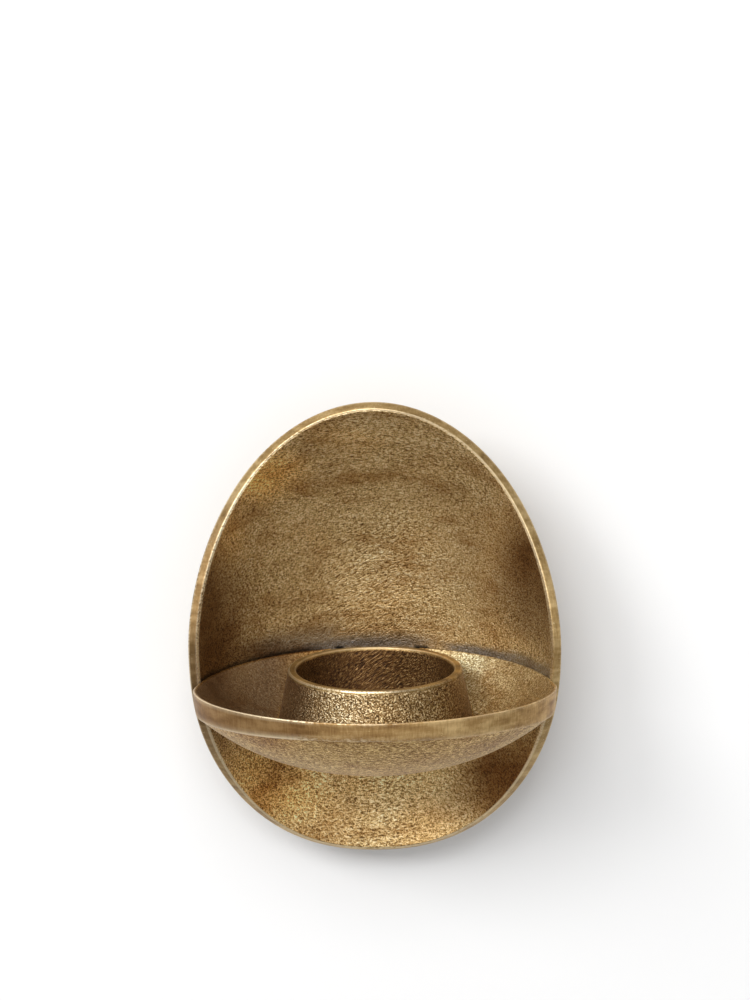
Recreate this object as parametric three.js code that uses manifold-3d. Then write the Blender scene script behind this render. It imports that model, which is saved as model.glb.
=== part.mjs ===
import * as THREE from 'three';
import { mergeVertices } from 'three/addons/utils/BufferGeometryUtils.js';
import Module from 'manifold-3d';

// Wall tealight holder: an oval cupped back shell carries an oval drip dish, and a tapered cup for
// one tealight stands in the dish against the shell. Everything is cast brass but the fixings.
// Millimetres, +X right, +Y into the wall, +Z up. The origin is on the hanger plate's rear face,
// below its keyhole. Levels are heights above the shell's deepest point unless they say otherwise.

// Back shell
const shellHalfWidth = 45.3;
const shellTopRise = 61.7;
const shellBottomDrop = 60.8;
const shellWidestLevel = 13.4;
const shellTopFullness = 1.94;
const shellBottomFullness = 2.24;
const shellSideDepth = 34.5;
const shellTopLean = 28.6;
const shellWall = 2.7;
const shellStandOff = 1.8;

// Drip dish
const dishRimLevel = 5.5;
const dishCentreForward = 40.5;
const dishFrontReach = 33;
const dishFullness = 1.87;
const dishDepth = 21;
const dishFloorThickness = 4;
const dishLipWidth = 0.8;
const dishBandFront = 4.85;
const dishBandSide = 6.7;
const dishBandTaper = 0.5;
const dishUndersideFront = 2.6;
const dishUndersideRear = 5.5;
const dishInsideFront = 3.2;
const dishInsideRear = 6;

// Tealight cup
const cupBoreRadius = 20.5;
const cupLipWidth = 2;
const cupFlare = 3.4;
const cupDepth = 13.4;
const cupFloorThickness = 3.3;
const cupBelowRim = 0.1;
const cupForward = 21.2;
const cupLipRounding = 0.6;

// Socket for the cup and screw pad, both cast under the dish
const socketWall = 2.5;
const socketFloor = 2.7;
const padRadius = 6;
const padProud = 0.4;

// Cup screw and its washer
const cupScrewRadius = 1.5;
const cupScrewBite = 2.4;
const cupScrewHeadRadius = 2.8;
const cupScrewHeadHeight = 1.9;
const washerRadius = 3.6;
const washerThickness = 0.5;

// Hanger plate with a keyhole, on two bosses of the shell
const plateLevel = 30;
const plateWidth = 46;
const plateHeight = 20;
const plateThickness = 2;
const keyholeHeadRadius = 4.5;
const keyholeSlotWidth = 4.6;
const keyholeSlotRise = 7.6;
const keyholeDrop = 1;
const originBelowPlate = 7.8;
const plateScrewInset = 6;
const bossRadius = 5;

// Countersunk plate screws
const plateScrewRadius = 1.5;
const plateScrewHeadRadius = 2.8;
const plateScrewHeadDepth = 1.3;
const plateScrewLength = 6;

// Wall pads on two lower bosses
const footLevel = -26;
const footSpacing = 28;
const footRadius = 5.5;
const padDiscThickness = 2;

// Braze beads under the joint between dish and shell
const beadRadius = 2.2;
const beadStart = THREE.MathUtils.degToRad(103);
const beadEnd = THREE.MathUtils.degToRad(128);

// Clearances and screw slots
const jointGap = 0.3;
const slotWidth = 0.8;
const slotDepth = 0.7;

// Facets
const around = 64;
const ringSteps = 8;
const roundSides = 24;
const cutterReach = 60;

// Sizes that follow from the ones above
const bowRadius = (shellHalfWidth ** 2 + shellSideDepth ** 2) / (2 * shellSideDepth);
const shellTopLevel = shellWidestLevel + shellTopRise;
const archRadius = (shellTopLevel ** 2 + shellTopLean ** 2) / (2 * shellTopLean);
const wallPlane = shellWall + shellStandOff;
const dishRearRadius = bowRadius - jointGap;
const dishCentreToBowAxis = bowRadius - dishCentreForward;
const dishHalfWidth = Math.sqrt(dishRearRadius ** 2 - dishCentreToBowAxis ** 2);
const dishBottomLevel = dishRimLevel - dishDepth;
const cupMouthLevel = dishRimLevel - cupBelowRim;
const cupMouthRadius = cupBoreRadius + cupLipWidth;
const cupFootRadius = cupMouthRadius + cupFlare;
const cupFloorLevel = cupMouthLevel - cupDepth;
const cupFootLevel = cupFloorLevel - cupFloorThickness;
const socketRadius = cupFootRadius + jointGap + socketWall;
const socketLevel = cupFootLevel - socketFloor;
const padLevel = Math.min(dishBottomLevel, socketLevel) - padProud;
const bossSpacing = plateWidth - 2 * plateScrewInset;
const footFace = wallPlane - padDiscThickness;

const wasm = await Module();
wasm.setup();

// A closed geometry becomes a solid that can be joined and cut
function toSolid(geometry) {
  const bare = geometry.clone();
  bare.deleteAttribute('normal');
  bare.deleteAttribute('uv');
  const merged = mergeVertices(bare, 1e-4);
  return new wasm.Manifold(new wasm.Mesh({
    numProp: 3,
    vertProperties: new Float32Array(merged.attributes.position.array),
    triVerts: new Uint32Array(merged.index.array),
  }));
}

function toGeometry(solid) {
  const mesh = solid.getMesh();
  const geometry = new THREE.BufferGeometry();
  geometry.setAttribute('position', new THREE.BufferAttribute(new Float32Array(mesh.vertProperties), 3));
  geometry.setIndex(new THREE.BufferAttribute(new Uint32Array(mesh.triVerts), 1));
  return geometry;
}

// Six times the volume inside a closed skin, negative where its faces point inwards
function signedVolume(points, faces) {
  let sum = 0;
  for (let k = 0; k < faces.length; k += 3) {
    const [a, b, c] = faces.slice(k, k + 3).map((index) => points[index]);
    sum += a.dot(new THREE.Vector3().crossVectors(b, c));
  }
  return sum;
}

// A closed skin from one pole over a stack of rings to the other pole
function skin(firstPole, rings, lastPole) {
  const count = rings[0].length;
  const points = [firstPole, ...rings.flat(), lastPole];
  const faces = [];
  for (let k = 0; k < count; k += 1) {
    const next = (k + 1) % count;
    faces.push(0, 1 + k, 1 + next);
    for (let ring = 0; ring + 1 < rings.length; ring += 1) {
      const here = 1 + ring * count;
      const above = here + count;
      faces.push(here + k, above + k, above + next, here + k, above + next, here + next);
    }
    const top = 1 + (rings.length - 1) * count;
    faces.push(top + k, points.length - 1, top + next);
  }
  if (signedVolume(points, faces) < 0) {
    faces.reverse();
  }
  const geometry = new THREE.BufferGeometry().setFromPoints(points);
  geometry.setIndex(faces);
  return geometry;
}

function anglesAround(count) {
  return Array.from({ length: count }, (_, k) => (2 * Math.PI * k) / count);
}

// A point of the shell's inner face, moved along the face's normal towards the wall
function shellPoint(x, level, towardsWall) {
  const acrossBow = Math.sqrt(bowRadius ** 2 - x ** 2);
  const acrossArch = Math.sqrt(archRadius ** 2 - level ** 2);
  const y = acrossBow - bowRadius + acrossArch - archRadius;
  const normal = new THREE.Vector3(x / acrossBow, 1, level / acrossArch).normalize();
  return new THREE.Vector3(x, y, level).addScaledVector(normal, towardsWall);
}

// The oval of the shell's rim, drawn in towards its middle by a share of 0 to 1
function shellRing(share, towardsWall) {
  return anglesAround(around).map((angle) => {
    const side = Math.sin(angle);
    const up = Math.cos(angle);
    const fullness = up >= 0 ? shellTopFullness : shellBottomFullness;
    const height = up >= 0 ? shellTopRise : shellBottomDrop;
    const reach = (Math.abs(side) ** fullness + Math.abs(up) ** fullness) ** (-1 / fullness);
    const x = share * shellHalfWidth * side * reach;
    return shellPoint(x, shellWidestLevel + share * height * up * reach, towardsWall);
  });
}

function shares(steps) {
  return Array.from({ length: steps }, (_, k) => (k + 1) / steps);
}

function cylinder(radius, length) {
  return new THREE.CylinderGeometry(radius, radius, length, roundSides);
}

// A round bar along Y between two depths, and one along Z between two levels
function barAlongY(radius, x, level, yStart, yEnd) {
  const length = yEnd - yStart;
  return toSolid(cylinder(radius, length).translate(x, yStart + length / 2, level));
}

function barAlongZ(radius, y, bottom, top) {
  const length = top - bottom;
  return toSolid(cylinder(radius, length).rotateX(Math.PI / 2).translate(0, y, bottom + length / 2));
}

// The casting's bosses run from inside its wall to the plane that carries a fixing
function shellBoss(x, level, radius, faceY) {
  const root = shellPoint(x, level, 0).y - radius;
  return barAlongY(radius, x, level, root, faceY).subtract(shellHollow(shellWall / 2));
}

// Everything in front of the shell's inner face, or a gap in front of it, inside its rim
function shellHollow(towardsWall) {
  const back = shares(ringSteps).map((share) => shellRing(share, towardsWall));
  const rim = back[back.length - 1];
  const front = rim.map((point) => new THREE.Vector3(point.x, -cutterReach, point.z));
  const pole = shellPoint(0, shellWidestLevel, towardsWall);
  return toSolid(skin(pole, [...back, front], new THREE.Vector3(0, -cutterReach, pole.z)));
}

// The shell's wall and all that is behind it, a gap larger, which trims what is fitted against it
function behindShell() {
  const face = shares(ringSteps).map((share) => shellRing(share, -jointGap));
  const pastRim = 1 + jointGap / shellHalfWidth;
  const frontEdge = shellRing(pastRim, -jointGap);
  const rearEdge = shellRing(pastRim, shellWall + jointGap);
  const back = rearEdge.map((point) => new THREE.Vector3(point.x, cutterReach, point.z));
  const pole = shellPoint(0, shellWidestLevel, -jointGap);
  const backPole = new THREE.Vector3(0, cutterReach, pole.z);
  return toSolid(skin(pole, [...face, frontEdge, rearEdge, back], backPole));
}

function backShell() {
  const inner = shares(ringSteps).map((share) => shellRing(share, 0));
  const outer = shares(ringSteps).map((share) => shellRing(share, shellWall)).reverse();
  const innerPole = shellPoint(0, shellWidestLevel, 0);
  const outerPole = shellPoint(0, shellWidestLevel, shellWall);
  let shell = toSolid(skin(innerPole, [...inner, ...outer], outerPole));
  for (const side of [-1, 1]) {
    const x = (side * bossSpacing) / 2;
    const screwBottom = wallPlane - plateScrewLength - jointGap;
    shell = shell.add(shellBoss(x, plateLevel, bossRadius, wallPlane - plateThickness));
    shell = shell.subtract(barAlongY(plateScrewRadius + jointGap, x, plateLevel, screwBottom, wallPlane));
    shell = shell.add(shellBoss((side * footSpacing) / 2, footLevel, footRadius, footFace));
  }
  return toGeometry(shell);
}

// The dish's rim in plan, as a distance from its centre: 0 is the front, a half turn the shell
function dishReach(angle) {
  const side = Math.abs(Math.sin(angle));
  const ahead = Math.cos(angle);
  if (ahead < 0) {
    return ahead * dishCentreToBowAxis + Math.sqrt(dishRearRadius ** 2 - (side * dishCentreToBowAxis) ** 2);
  }
  const across = (side / dishHalfWidth) ** dishFullness;
  const along = (ahead / dishFrontReach) ** dishFullness;
  return (across + along) ** (-1 / dishFullness);
}

function dishPoint(angle, distance, level) {
  return new THREE.Vector3(
    distance * Math.sin(angle),
    -(dishCentreForward + distance * Math.cos(angle)),
    level,
  );
}

// The bowl is shallow at the front and sides and drops steeply where it meets the shell
function towardsRear(angle, front, rear) {
  return THREE.MathUtils.lerp(front, rear, THREE.MathUtils.smoothstep(-Math.cos(angle), 0, 0.55));
}

function bandHeight(angle) {
  return dishBandFront + (dishBandSide - dishBandFront) * (1 - Math.cos(angle));
}

function undersideRing(share, grown) {
  return anglesAround(around).map((angle) => {
    const band = bandHeight(angle) + grown;
    const curve = share ** towardsRear(angle, dishUndersideFront, dishUndersideRear);
    const drop = band + (dishDepth + grown - band) * (1 - curve);
    return dishPoint(angle, share * (dishReach(angle) + grown - dishBandTaper), dishRimLevel - drop);
  });
}

function insideRing(share) {
  return anglesAround(around).map((angle) => {
    const curve = share ** towardsRear(angle, dishInsideFront, dishInsideRear);
    const drop = (dishDepth - dishFloorThickness) * (1 - curve);
    return dishPoint(angle, share * (dishReach(angle) - dishLipWidth), dishRimLevel - drop);
  });
}

// The bowl's outer body, solid up to its rim plane and larger all round by grown
function dishBody(grown) {
  const rim = anglesAround(around).map((angle) => dishPoint(angle, dishReach(angle) + grown, dishRimLevel));
  const underside = shares(ringSteps).map((share) => undersideRing(share, grown));
  const bottom = new THREE.Vector3(0, -dishCentreForward, dishBottomLevel - grown);
  const middle = new THREE.Vector3(0, -dishCentreForward, dishRimLevel);
  const bowl = toSolid(skin(bottom, [...underside, rim], middle));
  return bowl
    .add(barAlongZ(socketRadius + grown, -cupForward, socketLevel - grown, cupFloorLevel))
    .add(barAlongZ(padRadius + grown, -cupForward, padLevel - grown, cupFloorLevel));
}

// The bowl's hollow, open a little above the rim plane
function dishHollow() {
  const inside = shares(ringSteps).map(insideRing);
  const open = inside[inside.length - 1].map((point) => point.clone().setZ(dishRimLevel + cupDepth));
  const floor = new THREE.Vector3(0, -dishCentreForward, dishRimLevel - dishDepth + dishFloorThickness);
  const middle = new THREE.Vector3(0, -dishCentreForward, dishRimLevel + cupDepth);
  return toSolid(skin(floor, [...inside, open], middle));
}

// The cup's flared outer body, wider all round by grown and running on above its mouth by raised
function cupBody(grown, raised) {
  const height = cupMouthLevel - cupFootLevel;
  const slope = cupFlare / height;
  const profile = [
    new THREE.Vector2(0, cupFootLevel),
    new THREE.Vector2(cupFootRadius + grown, cupFootLevel),
    new THREE.Vector2(cupMouthRadius + grown - slope * raised, cupMouthLevel + raised),
    new THREE.Vector2(0, cupMouthLevel + raised),
  ];
  return toSolid(lathe(profile));
}

function lathe(profile) {
  return new THREE.LatheGeometry(profile, around).rotateX(Math.PI / 2).translate(0, -cupForward, 0);
}

function dish() {
  const screwHole = barAlongZ(cupScrewRadius + jointGap, -cupForward, padLevel, cupFloorLevel);
  return toGeometry(dishBody(0)
    .subtract(dishHollow())
    .subtract(cupBody(jointGap, cupDepth))
    .subtract(screwHole)
    .subtract(behindShell()));
}

function tealightCup() {
  const slope = cupFlare / (cupMouthLevel - cupFootLevel);
  const round = cupLipRounding;
  const profile = [
    new THREE.Vector2(0, cupFootLevel),
    new THREE.Vector2(cupFootRadius, cupFootLevel),
    new THREE.Vector2(cupMouthRadius + slope * round, cupMouthLevel - round),
    new THREE.Vector2(cupMouthRadius - round, cupMouthLevel),
    new THREE.Vector2(cupBoreRadius + round, cupMouthLevel),
    new THREE.Vector2(cupBoreRadius, cupMouthLevel - round),
    new THREE.Vector2(cupBoreRadius, cupFloorLevel),
    new THREE.Vector2(0, cupFloorLevel),
  ];
  const tapTop = cupFootLevel + cupScrewBite + jointGap;
  return toGeometry(toSolid(lathe(profile))
    .subtract(barAlongZ(cupScrewRadius + jointGap, -cupForward, cupFootLevel - socketFloor, tapTop))
    .subtract(behindShell()));
}

// A bead fills the groove under the dish's rear edge, clear of both castings
function brazeBead(side) {
  const steps = 10;
  const points = Array.from({ length: steps + 1 }, (_, k) => {
    const angle = side * THREE.MathUtils.lerp(beadStart, beadEnd, k / steps);
    return dishPoint(angle, dishReach(angle), dishRimLevel - bandHeight(angle) - beadRadius);
  });
  const section = new THREE.Shape().absarc(0, 0, beadRadius, 0, 2 * Math.PI);
  const tube = new THREE.ExtrudeGeometry(section, {
    curveSegments: 6,
    steps,
    extrudePath: new THREE.CatmullRomCurve3(points),
  });
  return toGeometry(toSolid(tube).subtract(dishBody(jointGap)).subtract(behindShell()));
}

// A slotted machine screw below the pad, its head under the washer
function cupScrew() {
  const headTop = padLevel - washerThickness;
  const headBottom = headTop - cupScrewHeadHeight;
  const head = barAlongZ(cupScrewHeadRadius, -cupForward, headBottom, headTop);
  const shank = barAlongZ(cupScrewRadius, -cupForward, headTop - slotDepth, cupFootLevel + cupScrewBite);
  const slot = new THREE.BoxGeometry(2 * cupScrewHeadRadius + 1, slotWidth, 2 * slotDepth);
  return toGeometry(head.add(shank).subtract(toSolid(slot.translate(0, -cupForward, headBottom))));
}

function cupWasher() {
  const disc = barAlongZ(washerRadius, -cupForward, padLevel - washerThickness, padLevel);
  const hole = barAlongZ(cupScrewRadius + jointGap, -cupForward, padLevel - washerRadius, padLevel + 1);
  return toGeometry(disc.subtract(hole));
}

// The countersunk screw's solid, wider all round by grown and as long as asked
function plateScrewBody(x, grown, length) {
  const headEdge = wallPlane - plateScrewHeadDepth;
  const tip = wallPlane - length;
  const profile = [
    new THREE.Vector2(0, tip),
    new THREE.Vector2(plateScrewRadius + grown, tip),
    new THREE.Vector2(plateScrewRadius + grown, headEdge),
    new THREE.Vector2(plateScrewHeadRadius + grown, wallPlane),
    new THREE.Vector2(0, wallPlane),
  ];
  return toSolid(new THREE.LatheGeometry(profile, roundSides).translate(x, 0, plateLevel));
}

function hangerPlate() {
  const end = plateHeight / 2;
  const straight = plateWidth / 2 - end;
  const outline = new THREE.Shape()
    .absarc(straight, 0, end, -Math.PI / 2, Math.PI / 2)
    .absarc(-straight, 0, end, Math.PI / 2, Math.PI * 1.5);
  const slotHalf = keyholeSlotWidth / 2;
  const mouth = Math.asin(slotHalf / keyholeHeadRadius);
  const keyhole = new THREE.Path()
    .absarc(0, -keyholeDrop, keyholeHeadRadius, Math.PI / 2 + mouth, Math.PI * 2.5 - mouth)
    .absarc(0, keyholeSlotRise - keyholeDrop - slotHalf, slotHalf, 0, Math.PI)
    .closePath();
  outline.holes.push(keyhole);
  const blank = new THREE.ExtrudeGeometry(outline, {
    depth: plateThickness,
    bevelEnabled: false,
    curveSegments: 12,
  });
  let plate = toSolid(blank.rotateX(Math.PI / 2).translate(0, wallPlane, plateLevel));
  for (const side of [-1, 1]) {
    plate = plate.subtract(plateScrewBody((side * bossSpacing) / 2, jointGap, plateThickness + 1));
  }
  return toGeometry(plate);
}

function plateScrew(side) {
  const x = (side * bossSpacing) / 2;
  const slot = new THREE.BoxGeometry(2 * plateScrewHeadRadius + 1, 2 * slotDepth, slotWidth);
  return toGeometry(plateScrewBody(x, 0, plateScrewLength)
    .subtract(toSolid(slot.translate(x, wallPlane, plateLevel))));
}

function wallPad(side) {
  const x = (side * footSpacing) / 2;
  return toGeometry(barAlongY(footRadius, x, footLevel, footFace, wallPlane));
}

const castBrass = { color: 0x8c6f43, roughness: 0.5, metalness: 1 };
const dishBrass = { color: 0x94774b, roughness: 0.42, metalness: 1 };
const cupBrass = { color: 0x86683c, roughness: 0.45, metalness: 1 };
const brazeAlloy = { color: 0x7a6a4c, roughness: 0.6, metalness: 1 };
const zincSteel = { color: 0x9a9a96, roughness: 0.4, metalness: 1 };
const blackRubber = { color: 0x1d1c1b, roughness: 0.9, metalness: 0 };

const assembly = new THREE.Group();
assembly.position.set(0, -wallPlane, originBelowPlate - plateLevel);

function addPiece(name, geometry, finish) {
  const mesh = new THREE.Mesh(geometry, new THREE.MeshStandardMaterial(finish));
  mesh.name = name;
  assembly.add(mesh);
}

addPiece('back_shell', backShell(), castBrass);
addPiece('drip_dish', dish(), dishBrass);
addPiece('tealight_cup', tealightCup(), cupBrass);
addPiece('cup_screw', cupScrew(), zincSteel);
addPiece('cup_screw_washer', cupWasher(), zincSteel);
addPiece('hanger_plate', hangerPlate(), zincSteel);
for (const [name, side] of [['left', -1], ['right', 1]]) {
  addPiece(`braze_bead_${name}`, brazeBead(side), brazeAlloy);
  addPiece(`hanger_screw_${name}`, plateScrew(side), zincSteel);
  addPiece(`wall_pad_${name}`, wallPad(side), blackRubber);
}

const holder = new THREE.Group();
holder.add(assembly);

export default holder;
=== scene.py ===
import math

import bpy
from mathutils import Matrix, Vector, noise


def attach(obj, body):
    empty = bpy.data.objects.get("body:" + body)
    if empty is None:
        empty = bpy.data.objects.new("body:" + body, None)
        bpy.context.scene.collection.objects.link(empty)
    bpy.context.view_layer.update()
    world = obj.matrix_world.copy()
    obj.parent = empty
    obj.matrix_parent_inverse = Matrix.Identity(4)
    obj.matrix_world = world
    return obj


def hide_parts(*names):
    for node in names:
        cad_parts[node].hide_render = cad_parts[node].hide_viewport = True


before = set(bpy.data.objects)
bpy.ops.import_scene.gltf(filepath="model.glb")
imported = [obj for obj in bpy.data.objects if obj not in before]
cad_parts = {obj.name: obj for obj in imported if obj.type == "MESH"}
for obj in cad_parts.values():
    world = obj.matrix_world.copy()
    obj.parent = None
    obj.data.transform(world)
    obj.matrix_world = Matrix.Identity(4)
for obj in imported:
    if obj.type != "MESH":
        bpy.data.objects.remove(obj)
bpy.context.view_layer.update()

# Wall tealight holder in cast antique brass. Lengths in the dictionaries are millimetres, as in the CAD:
# x to the right, "forward" out of the shell's deepest point, "level" up from that point.
mm = 0.001
pointAhead = 4.5
pointAbove = 22.2
# slack when edges are picked by their place, and the distance under which points are one
hair = 0.01
weldDistance = 0.002


def placed(x, forward, level):
    return Vector((x, -pointAhead - forward, level - pointAbove)) * mm


def measured(point):
    # the other way round: x, forward and level of a point in the scene
    return point.x / mm, -point.y / mm - pointAhead, point.z / mm + pointAbove


# modelling helpers
def deselectAll():
    if bpy.context.object and bpy.context.object.mode != "OBJECT":
        bpy.ops.object.mode_set(mode="OBJECT")
    bpy.ops.object.select_all(action="DESELECT")


def named(name):
    piece = bpy.context.object
    piece.name = name
    piece.data.name = name
    return piece


def makeActive(piece):
    deselectAll()
    piece.select_set(True)
    bpy.context.view_layer.objects.active = piece


def editMode():
    bpy.ops.object.mode_set(mode="EDIT")


def objectMode():
    bpy.ops.object.mode_set(mode="OBJECT")


def editOnly(piece, kind, wanted):
    # goes into edit mode with only the wanted faces or edges selected
    makeActive(piece)
    editMode()
    bpy.ops.mesh.select_mode(type=kind)
    bpy.ops.mesh.select_all(action="DESELECT")
    objectMode()
    for part in piece.data.polygons if kind == "FACE" else piece.data.edges:
        part.select = bool(wanted(part))
    editMode()


def editFaces(piece, wanted):
    editOnly(piece, "FACE", lambda face: wanted(face.normal))


def editEdges(piece, wanted):
    # wanted is given the two ends of an edge
    editOnly(piece, "EDGE", lambda edge: wanted(*(piece.data.vertices[i].co for i in edge.vertices)))


def bevelEdges(piece, wanted, width, segments):
    editEdges(piece, wanted)
    bpy.ops.mesh.bevel(offset=width * mm, segments=segments, affect="EDGES")
    objectMode()


def extrude(*move):
    bpy.ops.mesh.extrude_region_move(TRANSFORM_OT_translate={"value": move})


def inset(width, **settings):
    bpy.ops.mesh.inset(thickness=width * mm, **settings)


def settle(piece):
    makeActive(piece)
    bpy.ops.object.transform_apply(location=True, rotation=True, scale=True)


def addRod(name, radius, length, place, alongY=False, vertices=48):
    # place is millimetres from the frame's origin
    deselectAll()
    bpy.ops.mesh.primitive_cylinder_add(
        vertices=vertices, radius=radius * mm, depth=length * mm, location=Vector(place) * mm,
        rotation=(math.pi / 2, 0, 0) if alongY else (0, 0, 0),
    )
    rod = named(name)
    settle(rod)
    return rod


def addBlock(name, size, place):
    deselectAll()
    bpy.ops.mesh.primitive_cube_add(size=mm, location=Vector(place) * mm)
    block = named(name)
    block.scale = size
    settle(block)
    return block


def applyModifier(piece, kind, **settings):
    makeActive(piece)
    modifier = piece.modifiers.new(kind.lower(), kind)
    for key, value in settings.items():
        setattr(modifier, key, value)
    bpy.ops.object.modifier_apply(modifier=modifier.name)


def cutOrJoin(piece, other, operation):
    applyModifier(piece, "BOOLEAN", object=other, operation=operation, solver="EXACT")
    bpy.data.objects.remove(other)


def roundEdges(piece, radius, segments=3, limit=35):
    applyModifier(piece, "BEVEL", width=radius * mm, segments=segments, limit_method="ANGLE",
                  angle_limit=math.radians(limit), use_clamp_overlap=True)


def faceOutwards(piece):
    makeActive(piece)
    editMode()
    bpy.ops.mesh.select_all(action="SELECT")
    bpy.ops.mesh.remove_doubles(threshold=weldDistance * mm)
    bpy.ops.mesh.normals_make_consistent(inside=False)
    objectMode()


markNames = ("ground", "worn", "tint", "bore", "gold", "dark", "rising", "falling", "crevice", "warm")


def addMarks(piece, found):
    # The finish of each point: ground satin, worn bright and painted as a highlight on lit edges, blued by
    # the torch and painted as shade, inside a bore, golden where the patina has rubbed thin and where a
    # highlight is painted, dark where patina has gathered and where shade is painted, warm where it is a
    # thin brown film, painted black shade in an open crevice, and where the grain rises or falls to the
    # right instead of lying level.
    for key in markNames:
        layer = piece.data.attributes.new(key, "FLOAT", "POINT")
        layer.data.foreach_set("value", [marks.get(key, 0.0) for marks in found])


def pressedSkin(name, around, rows, place, marks):
    # A flat grid is wrapped round the casting: its columns go round, its rows follow the section.
    # place gives a point for a column and a row, marks the finish of that point.
    deselectAll()
    bpy.ops.mesh.primitive_grid_add(x_subdivisions=around, y_subdivisions=rows, size=2)
    piece = named(name)
    found = []
    for vertex in piece.data.vertices:
        column = round((vertex.co.x + 1) / 2 * around) % around
        row = round((vertex.co.y + 1) / 2 * rows)
        vertex.co = place(column, row)
        found.append(marks(column, row, vertex.co))
    addMarks(piece, found)
    faceOutwards(piece)
    return piece


def finishPiece(piece, material, slotName, *nodes, smoothAngle=35):
    settle(piece)
    piece.data.materials.clear()
    piece.data.materials.append(material)
    bpy.ops.object.shade_smooth_by_angle(angle=math.radians(smoothAngle))
    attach(piece, "root")
    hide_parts(*nodes)
    return piece


def quarter(steps):
    # angles of a rounded edge, without its start
    return [math.pi / 2 * k / steps for k in range(1, steps + 1)]


def ease(value, low, high):
    # 0 up to low, 1 from high, soft between them
    share = min(1, max(0, (value - low) / (high - low)))
    return share * share * (3 - 2 * share)


def fromLeast(least, share):
    return least + (1 - least) * share


def strongest(spots, across, along):
    # each spot is a share, a middle and a size: full in the middle, falling softly to 0 at its size
    def strength(share, middle, size):
        away = math.hypot((across - middle[0]) / size[0], (along - middle[1]) / size[1])
        return share * ease(away, 1, 0.15)

    return max(strength(*spot) for spot in spots)


def ringNoise(angle, rate, seed):
    # a slow change on the way round a rim
    return noise.noise(Vector((math.sin(angle) * rate, math.cos(angle) * rate, seed)))


def lump(point, size, seed):
    return noise.noise(point / (size * mm) + Vector((seed, 2.3 * seed, 5.1)))


# material helpers
def newMaterial(name):
    material = bpy.data.materials.new(name)
    material.use_nodes = True
    material.node_tree.nodes.clear()
    return material, material.node_tree


def addNode(tree, kind, inputs=None, **settings):
    node = tree.nodes.new("ShaderNode" + kind)
    for key, value in settings.items():
        setattr(node, key, value)
    for key, value in (inputs or {}).items():
        if isinstance(value, bpy.types.NodeSocket):
            tree.links.new(value, node.inputs[key])
        else:
            node.inputs[key].default_value = value
    return node


def showSurface(tree, surface):
    addNode(tree, "OutputMaterial", {"Surface": surface})


def dress(tree, inputs):
    showSurface(tree, addNode(tree, "BsdfPrincipled", inputs).outputs["BSDF"])


def ownPlace(tree):
    return addNode(tree, "TexCoord").outputs["Object"]


def stretched(tree, where, scale):
    return addNode(tree, "Mapping", {"Vector": where, "Scale": scale}).outputs["Vector"]


def mathsOf(tree, operation, first, second=0.0, clamp=False):
    node = addNode(tree, "Math", {0: first, 1: second}, operation=operation, use_clamp=clamp)
    return node.outputs[0]


def times(tree, first, second, clamp=False):
    return mathsOf(tree, "MULTIPLY", first, second, clamp)


def plus(tree, first, second):
    return mathsOf(tree, "ADD", first, second)


def between(tree, share, first, second):
    # the number that lies share of the way from first to second
    return addNode(tree, "Mix", {0: share, 2: first, 3: second}, data_type="FLOAT").outputs[0]


def mixOf(tree, share, first, second, blend="MIX"):
    inputs = {0: share, 6: first, 7: second}
    return addNode(tree, "Mix", inputs, data_type="RGBA", blend_type=blend).outputs[2]


def tinted(tree, share, colour, tint):
    # the colour multiplied by a tint, as far as share says
    return mixOf(tree, share, colour, (*tint, 1), "MULTIPLY")


def spread(tree, value, fromLow, fromHigh, toLow=0.0, toHigh=1.0):
    inputs = {"Value": value, "From Min": fromLow, "From Max": fromHigh, "To Min": toLow, "To Max": toHigh}
    return addNode(tree, "MapRange", inputs).outputs["Result"]


def rampOf(tree, value, stops):
    node = addNode(tree, "ValToRGB", {"Fac": value})
    elements = node.color_ramp.elements
    while len(elements) < len(stops):
        elements.new(0.5)
    for element, (position, colour) in zip(elements, stops):
        element.position = position
        element.color = (*colour, 1)
    return node.outputs["Color"]


def noiseOf(tree, where, scale, detail=2.0, roughness=0.5, distortion=0.0):
    return addNode(tree, "TexNoise", {
        "Vector": where, "Scale": scale, "Detail": detail,
        "Roughness": roughness, "Distortion": distortion,
    }).outputs["Fac"]


def bumpOf(tree, height, depth, strength=1.0):
    inputs = {"Strength": strength, "Distance": depth * mm, "Height": height}
    return addNode(tree, "Bump", inputs).outputs["Normal"]


def rgb(*values):
    # a colour as it is read off a screen, 0 to 255
    shares = [value / 255 for value in values]
    return tuple(((c + 0.055) / 1.055) ** 2.4 if c > 0.04045 else c / 12.92 for c in shares)


def strokesOf(tree, where, tilt, length, scale):
    # short strokes in the skin, tilt degrees up to the right seen from the front
    along = addNode(tree, "Mapping", {
        "Vector": where, "Rotation": (0, math.radians(-tilt), 0), "Scale": (length, 1, 1),
    }, vector_type="TEXTURE").outputs["Vector"]
    return noiseOf(tree, along, scale, 3.0, 0.6, 0.15)


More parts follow.
